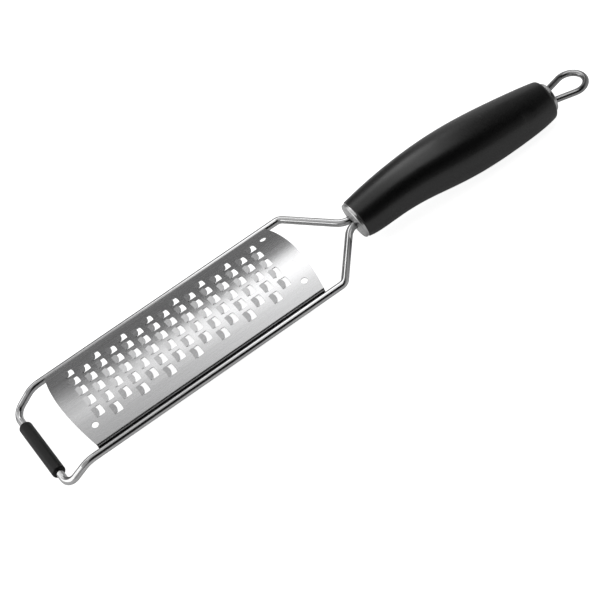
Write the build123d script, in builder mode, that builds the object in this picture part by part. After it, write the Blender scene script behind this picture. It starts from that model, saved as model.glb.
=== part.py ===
from build123d import *
import os
from math import asin, atan2, cos, hypot, radians, sin, sqrt, tan

# Coarse rasp zester: an arched stainless blade with raised teeth, welded inside a
# bent wire frame, with a turning sleeve on the foot and a soft-touch handle.
# Millimetres. X runs from the foot to the hanging loop, Y across the blade, Z up.
# X = 0 is the middle of the length, and the tool lies on its sleeve and belly at Z = 0.

# Wire frame, from the handle to the crossbar at the foot
wire_diameter = 4.0
frame_half_width = 32.0
leg_gap = 0.6
leg_depth = 46.0
neck_bend_radius = 9.6
splay_reach = 22.3
splay_bend_radius = 4.5
foot_reach = 13.6
foot_inset = 1.4
foot_drop = 7.9
foot_bend_radius = 13.4
foot_corner_radius = 6.4

# Sleeve that turns on the crossbar
sleeve_diameter = 7.0
sleeve_length = 39.6
sleeve_end_radius = 1.0
sleeve_clearance = 0.05

# Blade
blade_length = 133.4
blade_to_foot_bend = 7.8
blade_to_splay = 10.1
blade_end_bulge = 3.4
blade_rise = 5.4
blade_height = 8.3
blade_thickness = 0.6
blade_edge_radius = 1.4
flange_below_wires = 1.0
weld_depth = 0.01
corner_hole_diameter = 3.5
corner_hole_inset = 5.0
corner_hole_spacing = 41.2

# Teeth: windows with a tongue bent up along their foot side
tooth_width = 6.0
window_length = 5.0
window_bulge = 0.3
tongue_length = 2.65
tongue_gap = 0.06
tongue_lift = 0.9
tongue_edge_thickness = 0.25
tongue_root_length = 0.5
tongue_root_thickness = 0.3
tongue_root_sink = 0.12
tongue_bulge = 1.05
first_window = 7.8
column_pitch = 15.71
row_pitch = 8.55
rows = 5
row_shift_share = 0.25
last_window_margin = 9.0

# Handle: outer diameters and the rise of its centre line over the wires, at even
# steps from the ferrule to the rear end
grip_length = 119.2
grip_setback = 5.9
grip_wall = 3.0
grip_front_edge_radius = 0.8
grip_rear_edge_radius = 2.2
grip_diameters = (21.2, 24.7, 27.5, 30.2, 29.9, 27.0, 21.2)
grip_rises = (0.0, 1.6, 1.7, -0.4, -2.7, -4.6, -5.7)
grip_front_climb = 6.1
grip_rear_droop = 2.3

# Ferrule and rear cap
ferrule_diameter = 20.4
ferrule_band = 1.7
ferrule_rise = 2.7
ferrule_wall = 1.0
ferrule_edge_radius = 1.0
ferrule_slot_clearance = 0.2
cap_diameter = 16.0
cap_band = 2.1
cap_rise = 3.0
cap_edge_radius = 0.6
cap_hole_clearance = 0.05

# Hanging loop
loop_wire_diameter = 3.4
loop_leg_spacing = 9.2
loop_leg_depth = 14.0
loop_flare = 17.0
loop_flare_radius = 4.0
loop_eye_radius = 8.0

overrun = 5.0

# Derived places, along and above the plane of the side wires. The loop's are measured
# out of the handle's rear end, along the slope that the centre line ends with.
wire_radius = wire_diameter / 2
sleeve_radius = sleeve_diameter / 2
ferrule_radius = ferrule_diameter / 2
leg_offset = wire_radius + leg_gap / 2
foot_bend_x = -blade_to_foot_bend
crossbar_x = foot_bend_x - foot_reach
splay_x = blade_length + blade_to_splay
neck_x = splay_x + splay_reach
grip_front_x = neck_x + grip_setback
grip_rear_x = grip_front_x + grip_length
leg_end_x = grip_front_x + leg_depth
grip_stations = [step / (len(grip_rises) - 1) for step in range(len(grip_rises))]

flare = radians(loop_flare)
loop_wire_radius = loop_wire_diameter / 2
loop_leg_offset = loop_leg_spacing / 2
loop_flare_width = loop_flare_radius * (1 - cos(flare))
loop_flare_run = (loop_eye_radius * cos(flare) - loop_leg_offset - loop_flare_width) / sin(flare)
loop_centre_reach = (
    cap_rise
    + (loop_flare_radius + loop_eye_radius) * sin(flare)
    + loop_flare_run * cos(flare)
)
loop_reach = loop_centre_reach + loop_eye_radius
loop_tip_x = grip_rear_x + loop_reach * cos(radians(grip_rear_droop))
loop_tip_z = grip_rises[-1] - loop_reach * sin(radians(grip_rear_droop))


def resting_slope():
    # Angle by which the side wires climb towards the handle when the tool lies on
    # its sleeve and on the lowest part of its belly.
    slopes = []
    for station, rise, diameter in zip(grip_stations, grip_rises, grip_diameters):
        run = grip_front_x + station * grip_length - crossbar_x
        climb = rise + foot_drop
        reach = hypot(run, climb)
        slopes.append(asin((diameter / 2 - sleeve_radius) / reach) - atan2(climb, run))
    return max(slopes)


slope = resting_slope()
foot_front_x = crossbar_x * cos(slope) + foot_drop * sin(slope) - sleeve_radius
loop_rear_x = loop_tip_x * cos(slope) - loop_tip_z * sin(slope) + loop_wire_radius
tool = Plane(
    origin=(
        -(foot_front_x + loop_rear_x) / 2,
        0,
        sleeve_radius - crossbar_x * sin(slope) + foot_drop * cos(slope),
    ),
    x_dir=(cos(slope), 0, sin(slope)),
    z_dir=(-sin(slope), 0, cos(slope)),
)


def tool_point(x, y, z):
    return tool.from_local_coords(Vector(x, y, z))


def tool_direction(x, y, z):
    return tool_point(x, y, z) - tool.origin


def across(x, z=0):
    # Plane square to the side wires, with its X along Y and its Y upwards.
    return Plane(origin=tool_point(x, 0, z), x_dir=(0, 1, 0), z_dir=tool.x_dir)


def lengthwise(x=0, y=0, z=0):
    # Plane along the side wires, with its X along them and its Y upwards.
    return Plane(origin=tool_point(x, y, z), x_dir=tool.x_dir, z_dir=(0, -1, 0))


# Wire frame: one wire, bent, from inside the handle round the foot and back
far_points = [
    (leg_end_x, leg_offset, 0),
    (neck_x, leg_offset, 0),
    (splay_x, frame_half_width, 0),
    (foot_bend_x, frame_half_width, 0),
    (crossbar_x, frame_half_width - foot_inset, -foot_drop),
]
near_points = [(x, -y, z) for x, y, z in reversed(far_points)]
far_radii = [neck_bend_radius, splay_bend_radius, foot_bend_radius, foot_corner_radius]

with BuildPart() as wire_frame:
    with BuildLine(tool) as wire_path:
        FilletPolyline(*far_points, *near_points, radius=far_radii + far_radii[::-1])
    wire = wire_path.wire()
    with BuildSketch(Plane(origin=wire @ 0, z_dir=wire % 0)):
        Circle(wire_radius)
    sweep(path=wire)
wire_frame.part.label = "wire_frame"

# Foot sleeve: a tube with rounded rims
with BuildPart() as foot_sleeve:
    with BuildSketch(lengthwise(crossbar_x, 0, -foot_drop)):
        Circle(sleeve_radius)
    extrude(amount=sleeve_length / 2, both=True)
    rims = foot_sleeve.faces().filter_by(Axis.Y).edges()
    fillet(rims, radius=sleeve_end_radius)
    with BuildSketch(lengthwise(crossbar_x, 0, -foot_drop)):
        Circle(wire_radius + sleeve_clearance)
    extrude(amount=sleeve_length / 2 + overrun, both=True, mode=Mode.SUBTRACT)
foot_sleeve.part.label = "foot_sleeve"

# Blade: an arched strip with its long edges turned down against the side wires
blade_half_width = frame_half_width - wire_radius + weld_depth
arch_radius = (blade_half_width**2 + blade_rise**2) / (2 * blade_rise)
arch_centre = blade_height - arch_radius
edge_height = blade_height - blade_rise
inner_radius = arch_radius - blade_thickness
inner_half_width = blade_half_width - blade_thickness
inner_edge_height = arch_centre + sqrt(inner_radius**2 - inner_half_width**2)
inner_height = blade_height - blade_thickness


def on_blade(x, arc):
    # Plane on the arched face, at x along the blade and an arc length from its middle.
    angle = arc / arch_radius
    return Plane(
        origin=tool_point(x, arch_radius * sin(angle), arch_centre + arch_radius * cos(angle)),
        x_dir=tool.x_dir,
        z_dir=tool_direction(0, sin(angle), cos(angle)),
    )


def tooth_outline(start, end, half_width, bulge):
    # Outline along the blade, square on the foot side and bulged on the handle side.
    foot_side = Line((start, half_width), (start, -half_width))
    far_side = Line(foot_side @ 0, (end - bulge, half_width))
    near_side = Line(foot_side @ 1, (end - bulge, -half_width))
    ThreePointArc(far_side @ 1, (end, 0), near_side @ 1)


# One window, cut right through, with its crease along X = 0
with BuildPart() as window:
    with BuildSketch(Plane.XY.offset(-overrun)):
        with BuildLine():
            tooth_outline(0, window_length, tooth_width / 2, window_bulge)
        make_face()
    extrude(amount=2 * overrun)

# One tongue, rooted in the blade behind the crease, thinned and bent up to its lip
tongue_half_width = tooth_width / 2 - tongue_gap
with BuildPart() as tongue:
    with BuildSketch(Plane.XZ):
        with BuildLine():
            Polyline(
                (-tongue_root_length, -tongue_root_sink),
                (tongue_length, tongue_lift),
                (tongue_length, tongue_lift - tongue_edge_thickness),
                (-tongue_root_length, -tongue_root_sink - tongue_root_thickness),
                close=True,
            )
        make_face()
    extrude(amount=tongue_half_width, both=True)
    with BuildSketch(Plane.XY.offset(-overrun)):
        with BuildLine():
            tooth_outline(-tongue_root_length, tongue_length, tongue_half_width, tongue_bulge)
        make_face()
    extrude(amount=2 * overrun, mode=Mode.INTERSECT)

# The columns stand half a column pitch apart, as many as the blade holds. Their rows are
# shifted by a share of the row pitch, in one column to the far side and in the next to
# the near side.
last_window = blade_length - last_window_margin - window_length
teeth = []
for shift_side, first_column in ((1, first_window), (-1, first_window + column_pitch / 2)):
    for column in range(int((last_window - first_column) // column_pitch) + 1):
        for row in range(rows):
            arc = (row - (rows - 1) / 2 + shift_side * row_shift_share) * row_pitch
            teeth.append(on_blade(first_column + column * column_pitch, arc))

hole_arc = corner_hole_spacing / 2
corner_holes = [
    on_blade(corner_hole_inset, -hole_arc),
    on_blade(blade_length - corner_hole_inset, -hole_arc),
    on_blade(blade_length - corner_hole_inset, hole_arc),
]

with BuildPart() as grating_blade:
    with BuildSketch(across(-blade_end_bulge - overrun)):
        with BuildLine():
            outer = ThreePointArc(
                (-blade_half_width, edge_height),
                (0, blade_height),
                (blade_half_width, edge_height),
            )
            inner = ThreePointArc(
                (-inner_half_width, inner_edge_height),
                (0, inner_height),
                (inner_half_width, inner_edge_height),
            )
            for outer_end, inner_end in ((outer @ 0, inner @ 0), (outer @ 1, inner @ 1)):
                Polyline(
                    outer_end,
                    (outer_end.X, -flange_below_wires),
                    (inner_end.X, -flange_below_wires),
                    inner_end,
                )
        make_face()
        fillet(vertices().sort_by(Axis.Y)[-4:-2], radius=blade_edge_radius - blade_thickness)
        fillet(vertices().sort_by(Axis.Y)[-2:], radius=blade_edge_radius)
    extrude(amount=blade_length + 2 * (blade_end_bulge + overrun))
    with BuildSketch(tool.offset(-overrun)):
        with BuildLine():
            foot_end = ThreePointArc(
                (0, -blade_half_width), (-blade_end_bulge, 0), (0, blade_half_width)
            )
            handle_end = ThreePointArc(
                (blade_length, -blade_half_width),
                (blade_length + blade_end_bulge, 0),
                (blade_length, blade_half_width),
            )
            Line(foot_end @ 0, handle_end @ 0)
            Line(foot_end @ 1, handle_end @ 1)
        make_face()
    extrude(amount=blade_height + 2 * overrun, mode=Mode.INTERSECT)
    with BuildSketch(*corner_holes):
        Circle(corner_hole_diameter / 2)
    extrude(amount=2 * blade_thickness, both=True, mode=Mode.SUBTRACT)
    with Locations(*teeth):
        add(window.part, mode=Mode.SUBTRACT)
        add(tongue.part)
grating_blade.part.label = "grating_blade"

# Handle: round sections square to a gently arched centre line
with BuildLine(lengthwise()) as grip_axis:
    Spline(
        [
            (grip_front_x + station * grip_length, rise)
            for station, rise in zip(grip_stations, grip_rises)
        ],
        tangents=[
            tool_direction(1, 0, tan(radians(grip_front_climb))),
            tool_direction(1, 0, -tan(radians(grip_rear_droop))),
        ],
    )
centre_line = grip_axis.wire()


def grip_section(station):
    return Plane(
        origin=centre_line @ station,
        x_dir=(0, 1, 0),
        z_dir=centre_line % station,
    )


front = grip_section(0)
rear = grip_section(1)


def turning_plane(section, side):
    # Plane through a section's axis, with its X along Y and its Y out of the handle.
    outwards = section.z_dir * side
    return Plane(
        origin=section.origin,
        x_dir=(0, 1, 0),
        z_dir=Vector(0, 1, 0).cross(outwards),
    )


def domed_outline(radius, band, rise):
    # Half outline of a round cap: a flat base, a straight band and a shallow dome.
    Polyline((0, rise), (0, 0), (radius, 0), (radius, band))
    TangentArc((0, rise), (radius, band), tangent=(1, 0))


def wire_offset(x):
    # Distance of either wire's centre from the middle plane, near the neck bend.
    turn = atan2(frame_half_width - leg_offset, splay_reach)
    bend_end = neck_x + neck_bend_radius * tan(turn / 2)
    if x >= bend_end:
        return leg_offset
    if x > bend_end - neck_bend_radius * sin(turn):
        return leg_offset + neck_bend_radius - sqrt(neck_bend_radius**2 - (bend_end - x) ** 2)
    return leg_offset + (neck_x - x) * tan(turn)


# Hanging loop: a wire eye whose two legs run into the handle
with BuildPart() as hanging_loop:
    with BuildLine(turning_plane(rear, 1)) as loop_path:
        leg_end = (loop_leg_offset, cap_rise)
        leg = Line((loop_leg_offset, cap_rise - loop_leg_depth), leg_end)
        bend = JernArc(leg @ 1, leg % 1, radius=loop_flare_radius, arc_size=-loop_flare)
        flank = Line(bend @ 1, bend @ 1 + (bend % 1) * loop_flare_run)
        eye_turn = 180 + 2 * loop_flare
        JernArc(flank @ 1, flank % 1, radius=loop_eye_radius, arc_size=eye_turn)
        for piece in (leg, bend, flank):
            mirror(piece, about=lengthwise())
    wire = loop_path.wire()
    with BuildSketch(Plane(origin=wire @ 0, z_dir=wire % 0)):
        Circle(loop_wire_radius)
    sweep(path=wire)
hanging_loop.part.label = "hanging_loop"

# Nose of the core, which fills the ferrule
with BuildPart() as core_nose:
    with BuildSketch(turning_plane(front, -1)):
        with BuildLine():
            domed_outline(
                ferrule_radius - ferrule_wall,
                ferrule_band - ferrule_wall,
                ferrule_rise - ferrule_wall,
            )
        make_face()
    revolve(axis=Axis(front.origin, front.z_dir))

# Front ferrule: a thin domed cap with one slot for both wires
with BuildPart() as front_ferrule:
    with BuildSketch(turning_plane(front, -1)):
        with BuildLine():
            domed_outline(ferrule_radius, ferrule_band, ferrule_rise)
        make_face()
        shoulder = vertices().sort_by_distance((ferrule_radius, ferrule_band))[0]
        fillet(shoulder, radius=ferrule_edge_radius)
    revolve(axis=Axis(front.origin, front.z_dir))
    add(core_nose.part, mode=Mode.SUBTRACT)
    mouth_x = grip_front_x - ferrule_rise
    with BuildSketch(across(mouth_x - overrun)):
        SlotOverall(
            2 * (wire_offset(mouth_x) + wire_radius + ferrule_slot_clearance),
            wire_diameter + 2 * ferrule_slot_clearance,
        )
    extrude(amount=ferrule_rise + 2 * overrun, mode=Mode.SUBTRACT)
front_ferrule.part.label = "front_ferrule"

# Body of the core, under an even wall of the soft grip
with BuildPart() as core_body:
    for station, diameter in zip(grip_stations, grip_diameters):
        with BuildSketch(grip_section(station)):
            Circle(diameter / 2 - grip_wall)
    loft()

# Handle core, moulded round the frame's legs and the loop's legs
with BuildPart() as handle_core:
    add(core_body.part)
    add(core_nose.part)
    add(wire_frame.part, mode=Mode.SUBTRACT)
    add(hanging_loop.part, mode=Mode.SUBTRACT)
handle_core.part.label = "handle_core"

# Soft grip: a hollow barrel round the core, rounded at both ends
with BuildPart() as handle_grip:
    for station, diameter in zip(grip_stations, grip_diameters):
        with BuildSketch(grip_section(station)):
            Circle(diameter / 2)
    loft()
    fillet(handle_grip.faces().sort_by(Axis.X)[0].edges(), radius=grip_front_edge_radius)
    fillet(handle_grip.faces().sort_by(Axis.X)[-1].edges(), radius=grip_rear_edge_radius)
    add(core_body.part, mode=Mode.SUBTRACT)
handle_grip.part.label = "handle_grip"

# Rear cap: a polished disc with two holes for the loop's legs
with BuildPart() as rear_cap:
    with BuildSketch(turning_plane(rear, 1)):
        with BuildLine():
            domed_outline(cap_diameter / 2, cap_band, cap_rise)
        make_face()
        shoulder = vertices().sort_by_distance((cap_diameter / 2, cap_band))[0]
        fillet(shoulder, radius=cap_edge_radius)
    revolve(axis=Axis(rear.origin, rear.z_dir))
    with BuildSketch(rear.offset(-overrun)):
        with Locations((loop_leg_offset, 0), (-loop_leg_offset, 0)):
            Circle(loop_wire_radius + cap_hole_clearance)
    extrude(amount=cap_rise + 2 * overrun, mode=Mode.SUBTRACT)
rear_cap.part.label = "rear_cap"

pieces = (
    grating_blade,
    wire_frame,
    foot_sleeve,
    front_ferrule,
    handle_core,
    handle_grip,
    rear_cap,
    hanging_loop,
)
os.makedirs("parts", exist_ok=True)
for piece in pieces:
    export_step(piece.part, f"parts/{piece.part.label}.step")
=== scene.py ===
import bpy
from math import pi, radians
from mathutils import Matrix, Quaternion, Vector


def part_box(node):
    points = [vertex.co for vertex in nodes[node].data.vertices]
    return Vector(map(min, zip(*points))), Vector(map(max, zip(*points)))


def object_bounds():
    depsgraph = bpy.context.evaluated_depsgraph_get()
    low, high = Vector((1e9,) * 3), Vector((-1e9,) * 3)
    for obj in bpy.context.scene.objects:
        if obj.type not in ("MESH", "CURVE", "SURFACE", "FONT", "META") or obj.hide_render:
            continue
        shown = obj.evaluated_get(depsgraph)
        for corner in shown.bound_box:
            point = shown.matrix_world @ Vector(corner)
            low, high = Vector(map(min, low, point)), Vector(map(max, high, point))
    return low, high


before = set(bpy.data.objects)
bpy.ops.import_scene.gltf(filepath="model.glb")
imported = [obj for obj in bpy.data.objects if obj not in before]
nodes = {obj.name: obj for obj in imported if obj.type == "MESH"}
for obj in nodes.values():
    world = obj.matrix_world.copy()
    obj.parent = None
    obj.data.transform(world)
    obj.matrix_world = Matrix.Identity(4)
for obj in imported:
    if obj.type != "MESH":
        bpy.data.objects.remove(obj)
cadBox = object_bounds()
print("frame loaded:", ", ".join(sorted(nodes)))

scene = bpy.context.scene
scene.view_settings.view_transform = "Standard"


def facing(place, aim, roll):
    # the turn that points -Z from a place to its aim, rolled about that line by so many degrees
    turn = (Vector(aim) - Vector(place)).to_track_quat("-Z", "Y")
    return turn @ Quaternion((0.0, 0.0, 1.0), radians(roll))


# camera, at the photograph's viewing angle

cameraSetup = {
    "place": (-0.2179, -0.6993, 0.6944),
    "aim": (-0.0237, -0.0214, 0.012),
    "roll": -22.46,
    "focalLength": 120.0,
    "sensorWidth": 36.0,
    "nearest": 0.05,
    "farthest": 20.0,
}


def addCamera(values):
    data = bpy.data.cameras.new("studioCamera")
    data.lens = values["focalLength"]
    data.sensor_width = values["sensorWidth"]
    data.clip_start = values["nearest"]
    data.clip_end = values["farthest"]
    camera = bpy.data.objects.new("studioCamera", data)
    scene.collection.objects.link(camera)
    camera.rotation_mode = "QUATERNION"
    camera.rotation_quaternion = facing(values["place"], values["aim"], values["roll"])
    camera.location = values["place"]
    scene.camera = camera


addCamera(cameraSetup)
print("camera placed")


# node helpers, shared by the materials, the effects and the room

def addNode(tree, kind, label, **settings):
    node = tree.nodes.new(kind)
    node.name = node.label = label
    for name, value in settings.items():
        setattr(node, name, value)
    return node


def setInputs(node, values):
    for name, value in values.items():
        node.inputs[name].default_value = value


def plugIn(tree, socket, value):
    # another node's output is linked, a number or a colour is typed in
    if isinstance(value, bpy.types.NodeSocket):
        tree.links.new(value, socket)
    else:
        socket.default_value = value


def mathNode(tree, label, operation, *values, clamp=False):
    node = addNode(tree, "ShaderNodeMath", label, operation=operation, use_clamp=clamp)
    for socket, value in zip(node.inputs, values):
        plugIn(tree, socket, value)
    return node.outputs["Value"]


def vectorNode(tree, label, operation, *values):
    node = addNode(tree, "ShaderNodeVectorMath", label, operation=operation)
    for socket, value in zip(node.inputs, values):
        plugIn(tree, socket, value)
    return node.outputs["Value"] if operation in ("DOT_PRODUCT", "LENGTH") else node.outputs["Vector"]


def noiseNode(tree, label, vector, scale, detail=2.0, roughness=0.5, distortion=0.0):
    node = addNode(tree, "ShaderNodeTexNoise", label)
    tree.links.new(vector, node.inputs["Vector"])
    setInputs(node, {"Detail": detail, "Roughness": roughness, "Distortion": distortion})
    plugIn(tree, node.inputs["Scale"], scale)
    return node.outputs["Fac"]


def rangeNode(tree, label, value, low, high, toLow=0.0, toHigh=1.0):
    node = addNode(tree, "ShaderNodeMapRange", label, interpolation_type="SMOOTHSTEP")
    tree.links.new(value, node.inputs["Value"])
    for name, limit in (("From Min", low), ("From Max", high), ("To Min", toLow), ("To Max", toHigh)):
        plugIn(tree, node.inputs[name], limit)
    return node.outputs["Result"]


# a mix node has a set of sockets for each kind of data, and these are the ones for colours
mixSockets = {"factor": 0, "first": 6, "second": 7, "result": 2}


def mixColors(tree, label, factor, first, second):
    node = addNode(tree, "ShaderNodeMix", label, data_type="RGBA")
    tree.links.new(factor, node.inputs[mixSockets["factor"]])
    for place, color in (("first", first), ("second", second)):
        opaque = (*color, 1.0) if isinstance(color, tuple) else color
        plugIn(tree, node.inputs[mixSockets[place]], opaque)
    return node.outputs[mixSockets["result"]]


def addBump(tree, label, height, distance, normal=None):
    node = addNode(tree, "ShaderNodeBump", label)
    setInputs(node, {"Strength": 1.0, "Distance": distance})
    tree.links.new(height, node.inputs["Height"])
    if normal is not None:
        tree.links.new(normal, node.inputs["Normal"])
    return node.outputs["Normal"]


# effects that several finishes share, each one a node group

def newGroup(name, inputs, outputs):
    # an input that starts as three numbers is a vector, and any other is a value
    tree = bpy.data.node_groups.new(name, "ShaderNodeTree")
    for label, start in inputs.items():
        kind = "NodeSocketVector" if isinstance(start, tuple) else "NodeSocketFloat"
        socket = tree.interface.new_socket(name=label, in_out="INPUT", socket_type=kind)
        socket.default_value = start
    for label in outputs:
        tree.interface.new_socket(name=label, in_out="OUTPUT", socket_type="NodeSocketFloat")
    entry = addNode(tree, "NodeGroupInput", "entry")
    leave = addNode(tree, "NodeGroupOutput", "leave")
    return tree, entry.outputs, leave.inputs


def buildBrushedGrain():
    # lines left by a belt: fine ones, with broader ones over them that vary the shade
    tree, given, out = newGroup(
        "brushedGrain",
        {"Vector": (0.0, 0.0, 0.0), "Stretch": (40.0, 2000.0, 2000.0)},
        ("Line", "Shade"),
    )
    fineShare = 0.6
    stretched = vectorNode(tree, "along the brushing", "MULTIPLY", given["Vector"], given["Stretch"])
    fine = noiseNode(tree, "fine lines", stretched, scale=1.0, detail=3.0, roughness=0.65)
    broad = noiseNode(tree, "broad lines", stretched, scale=0.18, detail=2.0, roughness=0.5)
    finePart = mathNode(tree, "fine share", "MULTIPLY", fine, fineShare)
    line = mathNode(tree, "both lines", "MULTIPLY_ADD", broad, 1.0 - fineShare, finePart)
    tree.links.new(line, out["Line"])
    tree.links.new(rangeNode(tree, "shade", broad, low=0.3, high=0.7), out["Shade"])
    return tree


def buildHandlingMarks():
    # blurred prints and wiped patches, stronger where two scales of noise agree
    tree, given, out = newGroup(
        "handlingMarks",
        {"Vector": (0.0, 0.0, 0.0), "Size": 60.0, "Cover": 0.4},
        ("Smudge",),
    )
    patchShare = 0.65
    timesFiner = 5.0
    barest = 0.75  # the threshold at no cover
    coverShare = 0.5
    softness = 0.22
    place = given["Vector"]
    large = noiseNode(tree, "patches", place, given["Size"], detail=3.0, roughness=0.55, distortion=0.6)
    smallSize = mathNode(tree, "smaller size", "MULTIPLY", given["Size"], timesFiner)
    small = noiseNode(tree, "blurred prints", place, smallSize, detail=2.0, roughness=0.5, distortion=1.2)
    patchPart = mathNode(tree, "patch share", "MULTIPLY", large, patchShare)
    both = mathNode(tree, "agreement", "MULTIPLY_ADD", small, 1.0 - patchShare, patchPart)
    covered = mathNode(tree, "cover share", "MULTIPLY", given["Cover"], coverShare)
    lowest = mathNode(tree, "threshold", "SUBTRACT", barest, covered)
    highest = mathNode(tree, "full smudge", "ADD", lowest, softness)
    tree.links.new(rangeNode(tree, "soft edge", both, lowest, highest), out["Smudge"])
    return tree


def buildEdgeWear():
    # rubbed edges, from the turn of a rounded normal against the true one
    tree, given, out = newGroup(
        "edgeWear",
        {"Vector": (0.0, 0.0, 0.0), "Radius": 0.0004, "Breakup": 900.0},
        ("Worn",),
    )
    rounded = addNode(tree, "ShaderNodeBevel", "rounded edge", samples=6)
    tree.links.new(given["Radius"], rounded.inputs["Radius"])
    geometry = addNode(tree, "ShaderNodeNewGeometry", "surface")
    normals = (rounded.outputs["Normal"], geometry.outputs["Normal"])
    agreement = vectorNode(tree, "turn", "DOT_PRODUCT", *normals)
    turned = mathNode(tree, "turned away", "SUBTRACT", 1.0, agreement)
    edge = rangeNode(tree, "edge", turned, low=0.01, high=0.14)
    spots = noiseNode(tree, "uneven rubbing", given["Vector"], given["Breakup"], detail=3.0, roughness=0.6)
    rubbed = rangeNode(tree, "rubbed spots", spots, low=0.3, high=0.65)
    tree.links.new(mathNode(tree, "broken edge", "MULTIPLY", edge, rubbed), out["Worn"])
    return tree


def buildFineScratches():
    # short hairlines: thin cell borders, stretched and broken up
    tree, given, out = newGroup(
        "fineScratches",
        {"Vector": (0.0, 0.0, 0.0), "Density": 160.0, "Width": 0.02},
        ("Scratch",),
    )
    breakShare = 0.35
    stretch = (0.35, 1.0, 1.6)
    breakSize = mathNode(tree, "break size", "MULTIPLY", given["Density"], breakShare)
    breaks = noiseNode(tree, "breaks", given["Vector"], breakSize, detail=1.0)
    stretched = vectorNode(tree, "stretched", "MULTIPLY", given["Vector"], stretch)
    cells = addNode(tree, "ShaderNodeTexVoronoi", "cell borders", feature="DISTANCE_TO_EDGE")
    tree.links.new(stretched, cells.inputs["Vector"])
    tree.links.new(given["Density"], cells.inputs["Scale"])
    line = rangeNode(tree, "thin line", cells.outputs["Distance"], 0.0, given["Width"], toLow=1.0, toHigh=0.0)
    kept = rangeNode(tree, "kept stretches", breaks, low=0.52, high=0.66)
    tree.links.new(mathNode(tree, "hairline", "MULTIPLY", line, kept), out["Scratch"])
    return tree


def buildSettledDust():
    # a little dust on faces that look up
    tree, given, out = newGroup(
        "settledDust",
        {"Vector": (0.0, 0.0, 0.0), "Grain": 2500.0, "Amount": 0.1},
        ("Dust",),
    )
    geometry = addNode(tree, "ShaderNodeNewGeometry", "surface")
    parts = addNode(tree, "ShaderNodeSeparateXYZ", "upward share")
    tree.links.new(geometry.outputs["Normal"], parts.inputs["Vector"])
    upward = rangeNode(tree, "faces up", parts.outputs["Z"], low=0.35, high=1.0)
    fine = noiseNode(tree, "speck noise", given["Vector"], given["Grain"], detail=4.0, roughness=0.7)
    specks = rangeNode(tree, "specks", fine, low=0.56, high=0.72)
    broad = noiseNode(tree, "veil noise", given["Vector"], scale=45.0, detail=3.0, roughness=0.5)
    veil = rangeNode(tree, "veil", broad, low=0.35, high=0.75)
    both = mathNode(tree, "specks in the veil", "MULTIPLY", specks, veil)
    lifted = mathNode(tree, "on top", "MULTIPLY", both, upward)
    dust = mathNode(tree, "amount", "MULTIPLY", lifted, given["Amount"], clamp=True)
    tree.links.new(dust, out["Dust"])
    return tree


def buildLatheRings():
    # turning marks round an axis, given by a point on it and its direction
    tree, given, out = newGroup(
        "latheRings",
        {"Vector": (0.0, 0.0, 0.0), "Centre": (0.0, 0.0, 0.0), "Axis": (1.0, 0.0, 0.0), "Rings": 2600.0},
        ("Ring", "Shade"),
    )
    arm = vectorNode(tree, "from the centre", "SUBTRACT", given["Vector"], given["Centre"])
    square = vectorNode(tree, "square to the axis", "CROSS_PRODUCT", arm, given["Axis"])
    reach = vectorNode(tree, "distance from the axis", "LENGTH", square)
    along = vectorNode(tree, "place on the axis", "DOT_PRODUCT", arm, given["Axis"])
    profile = mathNode(tree, "along the profile", "ADD", reach, along)
    ringCount = mathNode(tree, "ring count", "MULTIPLY", profile, given["Rings"])
    line = addNode(tree, "ShaderNodeCombineXYZ", "profile line")
    tree.links.new(ringCount, line.inputs["X"])
    fine = noiseNode(tree, "rings", line.outputs["Vector"], scale=1.0, detail=3.0, roughness=0.7)
    broad = noiseNode(tree, "broad ring noise", line.outputs["Vector"], scale=0.12, detail=1.0)
    tree.links.new(fine, out["Ring"])
    tree.links.new(rangeNode(tree, "broad rings", broad, low=0.3, high=0.7), out["Shade"])
    return tree


def buildCrevicePaintedShade():
    # painted shade where surfaces close in on each other, stronger in some patches
    tree, given, out = newGroup(
        "crevicePaintedShade",
        {"Vector": (0.0, 0.0, 0.0), "Reach": 0.004, "Patches": 500.0},
        ("PaintedShade",),
    )
    closed = addNode(tree, "ShaderNodeAmbientOcclusion", "openness", samples=12)
    tree.links.new(given["Reach"], closed.inputs["Distance"])
    deep = rangeNode(tree, "closed in", closed.outputs["AO"], low=0.3, high=0.8, toLow=1.0, toHigh=0.0)
    patches = noiseNode(tree, "shade patch noise", given["Vector"], given["Patches"], detail=3.0, roughness=0.6)
    thick = rangeNode(tree, "deeper shade patches", patches, low=0.25, high=0.6, toLow=0.6, toHigh=1.0)
    tree.links.new(mathNode(tree, "painted crevice shade", "MULTIPLY", deep, thick), out["PaintedShade"])
    return tree


brushedGrain = buildBrushedGrain()
handlingMarks = buildHandlingMarks()
edgeWear = buildEdgeWear()
fineScratches = buildFineScratches()
settledDust = buildSettledDust()
latheRings = buildLatheRings()
crevicePaintedShade = buildCrevicePaintedShade()
print("shared effects built")


def useGroup(tree, group, coordinates, values):
    node = addNode(tree, "ShaderNodeGroup", group.name, node_tree=group)
    tree.links.new(coordinates, node.inputs["Vector"])
    setInputs(node, values)
    return node.outputs


def newMaterial(name, values):
    material = bpy.data.materials.new(name)
    material.use_nodes = True
    tree = material.node_tree
    tree.nodes.clear()
    output = addNode(tree, "ShaderNodeOutputMaterial", "surface")
    shader = addNode(tree, "ShaderNodeBsdfPrincipled", "finish")
    setInputs(shader, values)
    tree.links.new(shader.outputs["BSDF"], output.inputs["Surface"])
    coordinates = addNode(tree, "ShaderNodeTexCoord", "place on the piece").outputs["Object"]
    return material, tree, shader, coordinates


def variedRoughness(tree, label, pattern, finish):
    # the pattern makes the finish a little smoother in some places and rougher in others
    smoothest = finish["roughness"] - finish["smoother"]
    roughest = finish["roughness"] + finish["rougher"]
    return rangeNode(tree, label, pattern, low=0.3, high=0.7, toLow=smoothest, toHigh=roughest)


def wear(node, material):
    nodes[node].data.materials.clear()
    nodes[node].data.materials.append(material)


# blade: satin stainless strip, brushed along its length, with bright sheared edges

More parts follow.
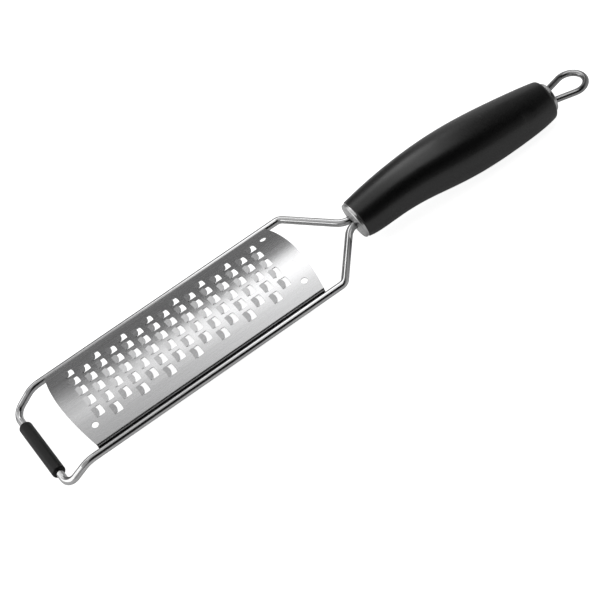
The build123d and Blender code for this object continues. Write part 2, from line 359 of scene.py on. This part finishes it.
bladeFinish = {
    "color": (0.60, 0.60, 0.605),
    "darkLines": (0.575, 0.575, 0.58),
    "shearedColor": (0.74, 0.74, 0.75),
    "roughness": 0.26,
    "smoother": 0.02,
    "rougher": 0.02,
    "smudgeRoughness": 0.035,
    "scratchRoughness": 0.04,
    "grain": (35.0, 2600.0, 2600.0),
    "grainHeight": 0.00000024,
    "smudges": {"Size": 38.0, "Cover": 0.42},
    "scratches": {"Density": 170.0, "Width": 0.012},
    "edges": {"Radius": 0.00025, "Breakup": 1400.0},
    # painted shade where the blade closes in on the wire, and its dark colour
    "paintedSeamShade": {"Reach": 0.004, "Patches": 600.0},
    "paintedSeamShadeColor": (0.05, 0.05, 0.05),
}


def bladeSteel(finish):
    material, tree, shader, coordinates = newMaterial("bladeSteel", {"Metallic": 1.0})
    grain = useGroup(tree, brushedGrain, coordinates, {"Stretch": finish["grain"]})
    smudge = useGroup(tree, handlingMarks, coordinates, finish["smudges"])["Smudge"]
    scratch = useGroup(tree, fineScratches, coordinates, finish["scratches"])["Scratch"]
    worn = useGroup(tree, edgeWear, coordinates, finish["edges"])["Worn"]
    paintedSeamShade = useGroup(tree, crevicePaintedShade, coordinates, finish["paintedSeamShade"])["PaintedShade"]
    brushed = mixColors(tree, "brushed steel", grain["Shade"], finish["darkLines"], finish["color"])
    sheared = mixColors(tree, "sheared edges", worn, brushed, finish["shearedColor"])
    # painted shade darkens the seams next to the wire and round the raised teeth
    shadedSeams = mixColors(tree, "painted shade in seams", paintedSeamShade, sheared, finish["paintedSeamShadeColor"])
    tree.links.new(shadedSeams, shader.inputs["Base Color"])
    base = variedRoughness(tree, "brushed roughness", grain["Line"], finish)
    smeared = mathNode(tree, "smeared", "MULTIPLY_ADD", smudge, finish["smudgeRoughness"], base)
    scratching = (scratch, finish["scratchRoughness"], smeared)
    scratched = mathNode(tree, "scratched", "MULTIPLY_ADD", *scratching, clamp=True)
    tree.links.new(scratched, shader.inputs["Roughness"])
    lines = addBump(tree, "brush lines", grain["Line"], finish["grainHeight"])
    tree.links.new(lines, shader.inputs["Normal"])
    return material


wear("grating_blade", bladeSteel(bladeFinish))
print("blade finished")


# frame and hanging loop: drawn wire, polished

wireFinish = {
    "color": (0.65, 0.65, 0.65),
    "dullColor": (0.57, 0.57, 0.575),
    "roughness": 0.15,
    "smoother": 0.03,
    "rougher": 0.03,
    "smudgeRoughness": 0.08,
    "scratchRoughness": 0.12,
    "drawLines": (300.0, 300.0, 300.0),
    "drawHeight": 0.000004,
    "smudges": {"Size": 55.0, "Cover": 0.45},
    "scratches": {"Density": 260.0, "Width": 0.02},
    # painted shade where other parts close in on the wire, and its dark colour
    "paintedSeamShade": {"Reach": 0.003, "Patches": 700.0},
    "paintedSeamShadeColor": (0.08, 0.08, 0.08),
}

# the loop's wire is a duller, darker stock
loopFinish = dict(wireFinish, color=(0.38, 0.38, 0.38), dullColor=(0.31, 0.31, 0.315), roughness=0.18)


def wireSteel(name, finish):
    material, tree, shader, coordinates = newMaterial(name, {"Metallic": 1.0})
    draw = useGroup(tree, brushedGrain, coordinates, {"Stretch": finish["drawLines"]})
    smudge = useGroup(tree, handlingMarks, coordinates, finish["smudges"])["Smudge"]
    scratch = useGroup(tree, fineScratches, coordinates, finish["scratches"])["Scratch"]
    paintedSeamShade = useGroup(tree, crevicePaintedShade, coordinates, finish["paintedSeamShade"])["PaintedShade"]
    polished = mixColors(tree, "polished steel", draw["Shade"], finish["dullColor"], finish["color"])
    # painted shade darkens the wire where other parts close in on it
    shadedSeams = mixColors(tree, "painted shade in seams", paintedSeamShade, polished, finish["paintedSeamShadeColor"])
    tree.links.new(shadedSeams, shader.inputs["Base Color"])
    base = variedRoughness(tree, "polish", draw["Line"], finish)
    smeared = mathNode(tree, "smeared", "MULTIPLY_ADD", smudge, finish["smudgeRoughness"], base)
    scratching = (scratch, finish["scratchRoughness"], smeared)
    scratched = mathNode(tree, "scratched", "MULTIPLY_ADD", *scratching, clamp=True)
    tree.links.new(scratched, shader.inputs["Roughness"])
    ripple = addBump(tree, "ripple of drawing", draw["Line"], finish["drawHeight"])
    tree.links.new(ripple, shader.inputs["Normal"])
    return material


wear("wire_frame", wireSteel("frameSteel", wireFinish))
wear("hanging_loop", wireSteel("loopSteel", loopFinish))
print("wires finished")


# ferrule and rear cap: bright stainless, turned

capFinish = {
    "color": (0.66, 0.66, 0.66),
    "ringShade": 0.93,  # of the colour, in the darker rings
    "rimColor": (0.76, 0.76, 0.76),
    "roughness": 0.28,
    "smoother": 0.05,
    "rougher": 0.06,
    "smudgeRoughness": 0.10,
    "rings": 3600.0,
    "ringHeight": 0.0000022,
    "smudges": {"Size": 90.0, "Cover": 0.4},
    "edges": {"Radius": 0.0004, "Breakup": 1200.0},
    # painted shade where the wires and the grip close in on the cap, and its dark colour
    "paintedSeamShade": {"Reach": 0.0025, "Patches": 900.0},
    "paintedSeamShadeColor": (0.07, 0.07, 0.07),
}

# each cap is turned round its own axis, along the way that its dome faces
capAxes = {
    "front_ferrule": (-0.9917, 0.0, -0.1289),
    "rear_cap": (0.99985, 0.0, -0.0171),
}


def middleOf(node):
    low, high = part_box(node)
    return tuple((near + far) / 2 for near, far in zip(low, high))


def capSteel(name, finish, centre, axis):
    material, tree, shader, coordinates = newMaterial(name, {"Metallic": 1.0})
    turning = {"Centre": centre, "Axis": axis, "Rings": finish["rings"]}
    rings = useGroup(tree, latheRings, coordinates, turning)
    smudge = useGroup(tree, handlingMarks, coordinates, finish["smudges"])["Smudge"]
    worn = useGroup(tree, edgeWear, coordinates, finish["edges"])["Worn"]
    paintedSeamShade = useGroup(tree, crevicePaintedShade, coordinates, finish["paintedSeamShade"])["PaintedShade"]
    darkRings = tuple(finish["ringShade"] * part for part in finish["color"])
    turned = mixColors(tree, "turned steel", rings["Shade"], darkRings, finish["color"])
    rubbed = mixColors(tree, "rubbed rim", worn, turned, finish["rimColor"])
    # painted shade darkens the cap where the wires and the grip close in
    shadedSeams = mixColors(tree, "painted shade in seams", paintedSeamShade, rubbed, finish["paintedSeamShadeColor"])
    tree.links.new(shadedSeams, shader.inputs["Base Color"])
    base = variedRoughness(tree, "turned roughness", rings["Ring"], finish)
    smearing = (smudge, finish["smudgeRoughness"], base)
    smeared = mathNode(tree, "smeared", "MULTIPLY_ADD", *smearing, clamp=True)
    tree.links.new(smeared, shader.inputs["Roughness"])
    marks = addBump(tree, "turning marks", rings["Ring"], finish["ringHeight"])
    tree.links.new(marks, shader.inputs["Normal"])
    return material


for node, axis in capAxes.items():
    wear(node, capSteel(node + "Steel", capFinish, middleOf(node), axis))
print("ferrule and cap finished")


# foot sleeve: matte black rubber tube

sleeveFinish = {
    "color": (0.003, 0.003, 0.003),
    "scuffColor": (0.035, 0.035, 0.035),
    "dustColor": (0.22, 0.215, 0.21),
    "specularLevel": 0.32,
    "roughness": 0.36,
    "smoother": 0.05,
    "rougher": 0.07,
    "rubbedRoughness": -0.06,
    "pebbles": 1700.0,
    "pebbleHeight": 0.000008,
    "smudges": {"Size": 130.0, "Cover": 0.5},
    "edges": {"Radius": 0.0006, "Breakup": 1000.0},
    "dust": {"Grain": 2600.0, "Amount": 0.08},
}


def sleeveRubber(finish):
    surface = {"Metallic": 0.0, "Specular IOR Level": finish["specularLevel"]}
    material, tree, shader, coordinates = newMaterial("sleeveRubber", surface)
    smudge = useGroup(tree, handlingMarks, coordinates, finish["smudges"])["Smudge"]
    worn = useGroup(tree, edgeWear, coordinates, finish["edges"])["Worn"]
    dust = useGroup(tree, settledDust, coordinates, finish["dust"])["Dust"]
    scuffed = mixColors(tree, "scuffed rims", worn, finish["color"], finish["scuffColor"])
    dusty = mixColors(tree, "dusty top", dust, scuffed, finish["dustColor"])
    tree.links.new(dusty, shader.inputs["Base Color"])
    pebbles = noiseNode(tree, "pebbled skin", coordinates, finish["pebbles"], detail=3.0, roughness=0.6)
    base = variedRoughness(tree, "skin roughness", pebbles, finish)
    rubbing = (smudge, finish["rubbedRoughness"], base)
    rubbed = mathNode(tree, "rubbed patches", "MULTIPLY_ADD", *rubbing, clamp=True)
    tree.links.new(rubbed, shader.inputs["Roughness"])
    skin = addBump(tree, "pebbles", pebbles, finish["pebbleHeight"])
    tree.links.new(skin, shader.inputs["Normal"])
    return material


wear("foot_sleeve", sleeveRubber(sleeveFinish))
print("sleeve finished")


# grip: soft-touch black over the core, with a fine even texture

gripFinish = {
    "color": (0.0008, 0.0008, 0.0008),
    "handledColor": (0.0013, 0.0013, 0.0013),
    "dustColor": (0.2, 0.195, 0.19),
    "specularLevel": 0.75,
    "roughness": 0.30,
    "smoother": 0.03,
    "rougher": 0.05,
    "handledRoughness": -0.04,
    "texture": 2900.0,
    "textureHeight": 0.0000035,
    "orangePeel": 420.0,
    "orangePeelHeight": 0.000003,
    "smudges": {"Size": 34.0, "Cover": 0.45},
    "edges": {"Radius": 0.0007, "Breakup": 700.0},
    "dust": {"Grain": 2200.0, "Amount": 0.03},
}


def gripBlack(finish):
    surface = {"Metallic": 0.0, "Specular IOR Level": finish["specularLevel"]}
    material, tree, shader, coordinates = newMaterial("gripBlack", surface)
    smudge = useGroup(tree, handlingMarks, coordinates, finish["smudges"])["Smudge"]
    worn = useGroup(tree, edgeWear, coordinates, finish["edges"])["Worn"]
    dust = useGroup(tree, settledDust, coordinates, finish["dust"])["Dust"]
    touched = mathNode(tree, "prints and rims", "MAXIMUM", smudge, worn)
    handled = mixColors(tree, "handled skin", touched, finish["color"], finish["handledColor"])
    dusty = mixColors(tree, "dusty top", dust, handled, finish["dustColor"])
    tree.links.new(dusty, shader.inputs["Base Color"])
    texture = noiseNode(tree, "fine texture", coordinates, finish["texture"], detail=2.0, roughness=0.6)
    peel = noiseNode(tree, "moulded ripple", coordinates, finish["orangePeel"], detail=1.0, roughness=0.5)
    base = variedRoughness(tree, "skin roughness", texture, finish)
    polishing = (smudge, finish["handledRoughness"], base)
    polished = mathNode(tree, "polished by hands", "MULTIPLY_ADD", *polishing, clamp=True)
    tree.links.new(polished, shader.inputs["Roughness"])
    skin = addBump(tree, "texture", texture, finish["textureHeight"])
    ripple = addBump(tree, "ripple", peel, finish["orangePeelHeight"], normal=skin)
    tree.links.new(ripple, shader.inputs["Normal"])
    return material


wear("handle_grip", gripBlack(gripFinish))
print("grip finished")


# core: moulded plastic, hidden inside

coreFinish = {
    "color": (0.05, 0.05, 0.052),
    "flowColor": (0.065, 0.065, 0.068),
    "roughness": 0.5,
    "smudgeRoughness": 0.1,
    "flow": (25.0, 160.0, 160.0),
    "flowHeight": 0.00001,
    "smudges": {"Size": 60.0, "Cover": 0.3},
}


def corePlastic(finish):
    material, tree, shader, coordinates = newMaterial("corePlastic", {"Metallic": 0.0})
    flow = useGroup(tree, brushedGrain, coordinates, {"Stretch": finish["flow"]})
    smudge = useGroup(tree, handlingMarks, coordinates, finish["smudges"])["Smudge"]
    flowing = mixColors(tree, "flow lines", flow["Shade"], finish["color"], finish["flowColor"])
    tree.links.new(flowing, shader.inputs["Base Color"])
    dulling = (smudge, finish["smudgeRoughness"], finish["roughness"])
    dulled = mathNode(tree, "dulled", "MULTIPLY_ADD", *dulling, clamp=True)
    tree.links.new(dulled, shader.inputs["Roughness"])
    marks = addBump(tree, "flow marks", flow["Line"], finish["flowHeight"])
    tree.links.new(marks, shader.inputs["Normal"])
    return material


wear("handle_core", corePlastic(coreFinish))
print("core finished")


# floor: a white table that glows where the camera sees it, and only faintly in reflections

floorValues = {
    "size": 8.0,
    "color": (0.8, 0.8, 0.8),
    "specularLevel": 0.2,
    "roughness": 0.7,
    "seenGlow": 0.9,
    "mirroredGlow": 0.085,
}


def floorWhite(values):
    surface = {
        "Base Color": (*values["color"], 1.0),
        "Roughness": values["roughness"],
        "Specular IOR Level": values["specularLevel"],
        "Emission Color": (1.0, 1.0, 1.0, 1.0),
    }
    material, tree, shader, coordinates = newMaterial("floorWhite", surface)
    seen = addNode(tree, "ShaderNodeLightPath", "seen by the camera").outputs["Is Camera Ray"]
    extra = values["seenGlow"] - values["mirroredGlow"]
    glow = mathNode(tree, "glow", "MULTIPLY_ADD", seen, extra, values["mirroredGlow"])
    tree.links.new(glow, shader.inputs["Emission Strength"])
    return material


def addFloor(values):
    half = values["size"] / 2
    low = cadBox[0][2]
    corners = [(-half, -half, low), (half, -half, low), (half, half, low), (-half, half, low)]
    mesh = bpy.data.meshes.new("studioFloor")
    mesh.from_pydata(corners, [], [(0, 1, 2, 3)])
    mesh.materials.append(floorWhite(values))
    floor = bpy.data.objects.new("studioFloor", mesh)
    scene.collection.objects.link(floor)


addFloor(floorValues)


# soft studio light: each box has a brightness, from which its power follows

lightValues = {
    "overheadBox": {
        "place": (-0.11, 0.4, 1.4),
        "aim": (-0.11, 0.4, 0.0),
        "size": (1.42, 1.9),
        "brightness": 0.50,
    },
    "handleBox": {
        "place": (0.355, 0.35, 1.32),
        "aim": (0.355, 0.35, 0.0),
        "size": (0.5, 1.96),
        "brightness": 0.78,
    },
    "backBox": {
        "place": (0.34, 0.87, 1.2),
        "aim": (-0.06, 0.0, 0.0),
        "size": (0.52, 0.84),
        "brightness": 0.74,
        "roll": -20.0,
    },
    "lowBackBox": {
        "place": (1.0, 1.6, 0.6),
        "aim": (0.1, 0.0, 0.03),
        "size": (0.95, 1.1),
        "brightness": 0.33,
    },
    "backLeftBox": {
        "place": (-0.55, 1.05, 0.95),
        "aim": (-0.07, 0.0, 0.0),
        "size": (0.95, 0.5),
        "brightness": 0.85,
    },
    "leftBox": {
        "place": (-1.25, 0.25, 0.45),
        "aim": (-0.16, 0.0, 0.0),
        "size": (1.6, 0.8),
        "brightness": 1.3,
    },
}


def addLight(name, values):
    data = bpy.data.lights.new(name, "AREA")
    data.shape = "RECTANGLE"
    data.size, data.size_y = values["size"]
    data.energy = values["brightness"] * pi * data.size * data.size_y
    light = bpy.data.objects.new(name, data)
    scene.collection.objects.link(light)
    light.location = values["place"]
    light.rotation_mode = "QUATERNION"
    light.rotation_quaternion = facing(values["place"], values["aim"], values.get("roll", 0.0))


for name, values in lightValues.items():
    addLight(name, values)


# the room is grey to the sides, with black cloth in front and a dark wall behind. A fade lies
# between two widths, depths or heights of a direction that is one long

roomValues = {
    "color": (1.0, 1.0, 1.0),
    "sideStrength": 0.38,
    "backStrength": 0.17,
    "frontStrength": 0.004,
    "lowFrontStrength": 0.08,
    "clothShift": 0.2,
    "underClothFade": (0.15, 0.45),
    "wallFade": (-0.2, 0.5),
    "clothShiftFade": (0.2, 0.5),
    "sideFade": (0.42, 0.72),
}


def addRoom(values):
    world = bpy.data.worlds.new("studioRoom")
    scene.world = world
    world.use_nodes = True
    tree = world.node_tree
    background = tree.nodes["Background"]
    background.inputs["Color"].default_value = (*values["color"], 1.0)
    direction = addNode(tree, "ShaderNodeTexCoord", "direction").outputs["Generated"]
    parts = addNode(tree, "ShaderNodeSeparateXYZ", "sideways and back")
    tree.links.new(direction, parts.inputs["Vector"])
    width, depth, height = parts.outputs
    front = (values["lowFrontStrength"], values["frontStrength"])
    cloth = rangeNode(tree, "grey under the cloth", height, *values["underClothFade"], *front)
    middle = rangeNode(tree, "cloth and wall", depth, *values["wallFade"], cloth, values["backStrength"])
    shifts = (0.0, values["clothShift"])
    shift = rangeNode(tree, "cloth hung to the right", height, *values["clothShiftFade"], *shifts)
    aside = mathNode(tree, "beside the cloth", "SUBTRACT", width, shift)
    sideways = mathNode(tree, "sideways", "ABSOLUTE", aside)
    sides = (middle, values["sideStrength"])
    strength = rangeNode(tree, "grey sides", sideways, *values["sideFade"], *sides)
    tree.links.new(strength, background.inputs["Strength"])


addRoom(roomValues)
print("floor and lights set")
